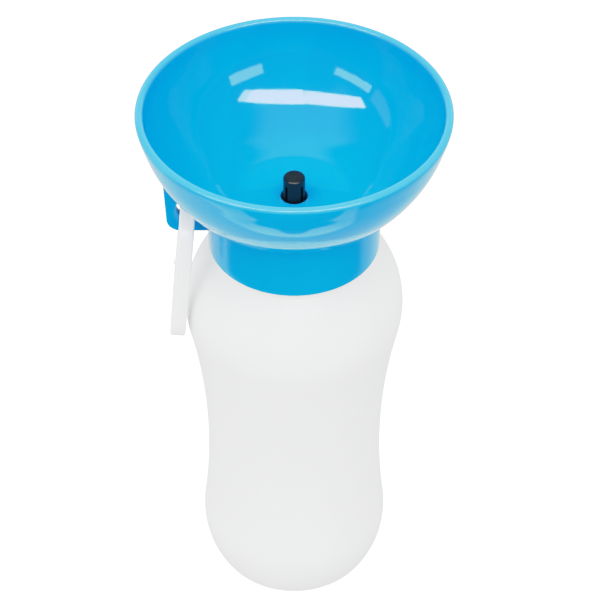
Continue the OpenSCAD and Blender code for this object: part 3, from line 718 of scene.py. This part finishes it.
def stadium(name):
    """The hook's ring: a circle drawn apart into two halves, inset by the bar and thickened."""
    outer = RING_R + BAR_D / 2
    bpy.ops.mesh.primitive_circle_add(vertices=128, radius=outer * MM, fill_type="NGON",
                                      location=(0, 0, 0), rotation=(0, pi / 2, 0))
    obj = named(name)
    settle(obj)
    pick(obj, lambda co, v: co.z < -ON_PLANE)
    bpy.ops.transform.translate(value=(0, 0, -LEG_L * MM))
    select_all()
    bpy.ops.mesh.inset(thickness=BAR_D * MM, use_even_offset=True)
    bpy.ops.mesh.delete(type="FACE")
    select_all()
    bpy.ops.mesh.extrude_region_move(TRANSFORM_OT_translate={"value": (BAR_T * MM, 0, 0)})
    face_outwards()
    obj.location = (-BAR_T / 2 * MM, 0, -RING_R * MM)
    settle(obj)
    return obj


def on_bar_side(co):
    return abs(abs(co.x) - BAR_T / 2 * MM) < ON_PLANE


def cut(obj, cutter):
    return combine(obj, cutter, "DIFFERENCE")


pin_at = (0, PIN_Y, PIN_Z)
past_bar = BAR_T + 2 * CUT_PAST

hook = soft_edges(stadium("hook"), BAR_ROUND)
# room for the gate, above and behind the nose's lip
room_back = BAR_BACK + 1.5
cut(hook, block("room", (-CUT_WIDE, BAR_FRONT - CUT_PAST, GATE_END + NOSE_LAP),
                (CUT_WIDE, room_back, PIN_Z)))
cut(hook, block("room", (-CUT_WIDE, BAR_FRONT + NOSE_T, GATE_END - GATE_GAP),
                (CUT_WIDE, room_back, PIN_Z - 0.5)))
cheek = soft_edges(rod("cheek", pin_at, CHEEK_R, BAR_T), CHEEK_ROUND, 3)
apron = block("apron", (-BAR_T / 2, BAR_FRONT, GATE_TOP + FRONT_GAP),
              (BAR_T / 2, PIN_Y, PIN_Z + APRON_UP))
round_edges(apron, lambda co, e: abs(co.y - BAR_FRONT * MM) < ON_PLANE and on_bar_side(co),
            BAR_ROUND, 4)
combine(hook, cheek)
combine(hook, apron)
cut(hook, block("slot", (-SLOT_W / 2, SLOT_FRONT, SLOT_LOW), (SLOT_W / 2, BAR_BACK + 3, SLOT_HIGH)))
cut(hook, rod("pin_hole", pin_at, HOOK_HOLE_R, past_bar, sides=32))
hang(hook)
finish_piece(hook, WHITE, "hook", "white", "carabiner_body", angle=30)

gate = block("hook_gate", (-BAR_T / 2, BAR_FRONT, GATE_END), (BAR_T / 2, BAR_BACK, GATE_TOP))
round_edges(gate, lambda co, e: on_bar_side(co) and GATE_END + 1 < co.z / MM < GATE_TOP - 1,
            BAR_ROUND, 4)
cut(gate, rod("scoop", pin_at, CHEEK_R + GATE_GAP, past_bar))
tongue_w = SLOT_W - 2 * GATE_GAP
tongue = rod("tongue", pin_at, TONGUE_R, tongue_w, sides=48)
combine(tongue, block("stem", (-tongue_w / 2, TONGUE_FRONT, GATE_TOP - TONGUE_LAP),
                      (tongue_w / 2, BAR_BACK - TONGUE_BACK, PIN_Z)))
combine(tongue, block("ledge", (-tongue_w / 2, PIN_Y, GATE_TOP),
                      (tongue_w / 2, BAR_BACK, TONGUE_LEDGE)))
combine(gate, tongue)
cut(gate, block("lap", (-CUT_WIDE, BAR_FRONT - CUT_PAST, GATE_END - CUT_PAST),
                (CUT_WIDE, BAR_FRONT + NOSE_T + GATE_GAP, GATE_END + NOSE_LAP + FRONT_GAP)))
cut(gate, rod("pin_hole", pin_at, GATE_HOLE_R, past_bar, sides=32))
hang(gate)
finish_piece(gate, WHITE, "gate", "white", "carabiner_gate", angle=30)

# coil spring over the gate's tongue
bpy.ops.mesh.primitive_circle_add(vertices=10, radius=WIRE_R * MM, rotation=(pi / 2, 0, 0),
                                  location=(SPRING_R * MM, 0, 0))
coil = named("gate_coil")
settle(coil)
wind = coil.modifiers.new("wind", "SCREW")
wind.axis, wind.angle, wind.screw_offset = "Z", 2 * pi * SPRING_TURNS, SPRING_L * MM
wind.steps = wind.render_steps = SPRING_STEPS
apply_all(coil)
cap_ends()
face_outwards()
coil.location = (0, SPRING_Y * MM, (TONGUE_LEDGE + SPRING_GAP) * MM)
settle(coil)
hang(coil)
finish_piece(coil, STEEL, "hook", "steel", "gate_spring", angle=60)

pin = rod("gate_pivot_pin", pin_at, PIN_R, BAR_T - PIN_SHORT, sides=32)
soft_edges(pin, PIN_ROUND, 3)
hang(pin)
finish_piece(pin, STEEL, "hook", "steel", "gate_pin")

# ---------------------------------------------------------------- solids that keep their shape
for name, material in (("valve_body", BLACK), ("dip_tube", TUBE)):
    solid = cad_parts[name]
    solid.data.materials.clear()
    solid.data.materials.append(material)

# ---------------------------------------------------------------- floor, in metres
FLOOR_SIZE, FLOOR_TONE, FLOOR_GLOW, FLOOR_SEEN = 14, 0.42, 0.52, 1.6
bpy.ops.mesh.primitive_grid_add(x_subdivisions=8, y_subdivisions=8, size=FLOOR_SIZE,
                                location=(0, 0, 0))
floor = named("floor")
paper = bpy.data.materials.new("pale floor")
paper.use_nodes = True
sheet = next(n for n in paper.node_tree.nodes if n.type == "BSDF_PRINCIPLED")
for label, value in (("Base Color", (FLOOR_TONE, FLOOR_TONE, FLOOR_TONE, 1)), ("Roughness", 0.9),
                     ("Specular IOR Level", 0.1), ("Emission Color", (1, 1, 1, 1))):
    sheet.inputs[label].default_value = value
# it glows more where the camera sees it than where it lights the piece
seen_directly = node(paper.node_tree, "ShaderNodeLightPath").outputs["Is Camera Ray"]
paper.node_tree.links.new(ramp(paper.node_tree, seen_directly, 0, 1, FLOOR_GLOW, FLOOR_SEEN),
                          sheet.inputs["Emission Strength"])
floor.data.materials.append(paper)
floor.visible_glossy = False

# ---------------------------------------------------------------- light, in metres
AT_PIECE = (0, 0, 0.2)
SECOND_MIRRORING = 0.1      # strength of a mirrored light's reflection in another reflection


def panel(name, at, width, height, radiance, roll=0.0, aim=None, mirrored=True):
    """A flat light of an even brightness, turned towards a point or else straight down.

    A mirrored one is seen in gloss and lights nothing else, and any other only lights.
    """
    lamp = bpy.data.lights.new(name, "AREA")
    lamp.shape, lamp.size, lamp.size_y = "RECTANGLE", width, height
    lamp.energy = radiance * (width * height) * pi
    obj = bpy.data.objects.new(name, lamp)
    bpy.context.scene.collection.objects.link(obj)
    obj.location = at
    turn = (Vector(aim or (at[0], at[1], 0)) - Vector(at)).to_track_quat("-Z", "Y")
    obj.rotation_euler = turn.to_euler()
    obj.rotation_euler.rotate_axis("Z", radians(roll))
    obj.visible_glossy, obj.visible_diffuse = mirrored, not mirrored
    if mirrored:
        # its second reflection inside the bowl is faint
        lamp.use_nodes = True
        tree = lamp.node_tree
        glow = next(n for n in tree.nodes if n.type == "EMISSION")
        bounce = node(tree, "ShaderNodeLightPath").outputs["Glossy Depth"]
        tree.links.new(ramp(tree, bounce, 1.0, 2.0, 1.0, SECOND_MIRRORING),
                       glow.inputs["Strength"])


panel("overhead strip", (0.55, -1.47, 1.5), 1.64, 0.58, 16.0)
panel("overhead strip end", (1.55, -1.46, 1.5), 0.36, 0.55, 11.5)
panel("overhead strip wing", (-1.31, -1.26, 1.5), 2.12, 0.52, 15.5, roll=-11.2)
panel("right box", (1.45, -1.77, 0.93), 1.15, 0.32, 4.6, aim=AT_PIECE)
panel("left box", (-1.75, -1.50, 0.92), 1.35, 0.24, 4.8, aim=AT_PIECE)
panel("left window", (-2.28, -0.25, 0.95), 1.15, 0.40, 0.8, aim=AT_PIECE)
panel("ceiling", (-0.35, -0.30, 1.54), 2.4, 0.9, 3.0, mirrored=False)
panel("front key", (-0.25, -1.30, 1.5), 3.85, 0.46, 4.0, roll=-3.9, mirrored=False)


def studio_walls():
    """The room, by direction: pale walls for soft light, and for gloss a pale sweep behind and
    below, its bright near edge, a patch of the ceiling and darkness in front."""
    world = bpy.data.worlds.new("studio")
    bpy.context.scene.world = world
    world.cycles.sampling_method = "NONE"
    world.use_nodes = True
    tree = world.node_tree
    tree.nodes.clear()
    way = node(tree, "ShaderNodeSeparateXYZ")
    unit = node(tree, "ShaderNodeVectorMath", operation="NORMALIZE")
    tree.links.new(node(tree, "ShaderNodeTexCoord").outputs["Generated"], unit.inputs[0])
    tree.links.new(unit.outputs[0], way.inputs[0])

    def maths(kind, a, b=0.0):
        made = node(tree, "ShaderNodeMath", operation=kind)
        for socket, value in zip(made.inputs, (a, b)):
            if isinstance(value, (int, float)):
                socket.default_value = value
            else:
                tree.links.new(value, socket)
        return made.outputs[0]

    def plus(a, b):
        return maths("ADD", a, b)

    def minus(a, b):
        return maths("SUBTRACT", a, b)

    def times(a, b):
        return maths("MULTIPLY", a, b)

    def above_zero(a):
        return maths("MAXIMUM", a, 0.0)

    def blend(value, low, high, to=1.0):
        """Rises smoothly from 0 at low to its full height at high, which may be the lesser."""
        made = ramp(tree, value, low, high, 0.0, to)
        made.node.interpolation_type = "SMOOTHSTEP"
        return made

    x, y, z = way.outputs
    across, depth = maths("ABSOLUTE", x), maths("ABSOLUTE", y)

    def soft_walls():
        sides = plus(times(across, 0.72), times(depth, 0.98))
        return plus(plus(sides, times(above_zero(z), 0.86)), 0.11)

    def pale_sweep():
        """Pale behind, wider at the sides of a low band, and dimmer near and to the right."""
        band = times(blend(z, -0.73, -0.68), blend(z, -0.48, -0.56))
        aside = times(above_zero(minus(across, 0.52)), band)
        behind = minus(y, times(aside, 1.2))
        dimmer = times(plus(times(x, 0.37), 0.33), ramp(tree, y, 0.0, 0.5, 1.0, 0.0))
        sweep = times(blend(behind, -0.25, 0.0), minus(0.92, dimmer))
        far_wall = times(blend(y, 0.69, 0.715), blend(z, 0.59, 0.55))
        return times(sweep, maths("MAXIMUM", blend(z, 0.16, 0.04), far_wall))

    def near_edge():
        """The bright ragged edge of the sweep, low in front."""
        noise = node(tree, "ShaderNodeTexNoise", Scale=9.0, Detail=3.0)
        tree.links.new(unit.outputs[0], noise.inputs["Vector"])
        ragged = ramp(tree, noise.outputs["Fac"], 0.3, 0.7, -0.014, 0.014)
        edge = plus(minus(y, blend(across, 0.13, 0.03, 0.09)), ragged)
        edge = plus(edge, blend(across, 0.28, 0.43, 0.2))
        near = times(blend(edge, -0.224, -0.203), blend(y, -0.015, -0.075))
        near = times(near, blend(z, -0.74, -0.80))
        near = times(near, plus(blend(across, 0.33, 0.20, 0.55), 0.85))
        right_end = minus(x, times(minus(-0.2, y), 0.5))
        return times(near, blend(right_end, 0.45, 0.40))

    def ceiling_patch():
        """A soft bright patch overhead that narrows towards the back."""
        late = above_zero(y)
        off = maths("ABSOLUTE", plus(x, blend(y, 0.2, -0.1, 0.1)))
        off = times(off, plus(times(late, 3.0), 1.0))
        off = plus(off, times(late, 0.35))
        patch = times(blend(off, 0.68, 0.36, 0.74), blend(y, -0.75, -0.62))
        return times(patch, times(blend(z, 0.35, 0.5), blend(y, 0.68, 0.55)))

    gloss = plus(plus(plus(pale_sweep(), near_edge()), ceiling_patch()), 0.02)
    path = node(tree, "ShaderNodeLightPath")
    room, mirrored, seen = (node(tree, "ShaderNodeBackground", Color=(1, 1, 1, 1))
                            for _ in range(3))
    tree.links.new(soft_walls(), room.inputs["Strength"])
    tree.links.new(gloss, mirrored.inputs["Strength"])
    seen.inputs["Strength"].default_value = 2.5
    last = room
    for ray, shade in (("Is Glossy Ray", mirrored), ("Is Camera Ray", seen)):
        chosen = node(tree, "ShaderNodeMixShader")
        tree.links.new(path.outputs[ray], chosen.inputs[0])
        tree.links.new(last.outputs[0], chosen.inputs[1])
        tree.links.new(shade.outputs[0], chosen.inputs[2])
        last = chosen
    tree.links.new(last.outputs[0], node(tree, "ShaderNodeOutputWorld").inputs["Surface"])


studio_walls()

# ---------------------------------------------------------------- film and camera
WHITE_LEVEL = 2.0
TONES = ((0.2, 0.2), (0.45, 0.455), (0.64, 0.64), (1.09, 0.79), (1.30, 0.845), (1.55, 0.92))
picture = bpy.context.scene.view_settings
picture.view_transform, picture.look = "Standard", "None"
picture.use_curve_mapping = True
film = picture.curve_mapping
film.white_level, film.extend = (WHITE_LEVEL,) * 3, "HORIZONTAL"
curve = film.curves[3].points
curve[0].location, curve[-1].location = (0, 0), (0.95, 1)
for light, tone in TONES:
    curve.new(light / WHITE_LEVEL, tone)
film.update()

CAMERA_AT, CAMERA_AIM = (0.0, -0.6270, 0.7046), (0, 0, 0.1364)
SENSOR, LENS = 36.0, 137.76                               # millimetres
SHIFT_X, SHIFT_Y = 0.00973, -0.0160
NEAREST, FARTHEST = 0.01, 50.0
camera_data = bpy.data.cameras.new("camera")
camera = bpy.data.objects.new("camera", camera_data)
bpy.context.scene.collection.objects.link(camera)
camera.location = CAMERA_AT
camera.rotation_euler = (Vector(CAMERA_AIM) - camera.location).to_track_quat("-Z", "Y").to_euler()
camera_data.sensor_width, camera_data.lens = SENSOR, LENS
camera_data.shift_x, camera_data.shift_y = SHIFT_X, SHIFT_Y
camera_data.clip_start, camera_data.clip_end = NEAREST, FARTHEST
bpy.context.scene.camera = camera
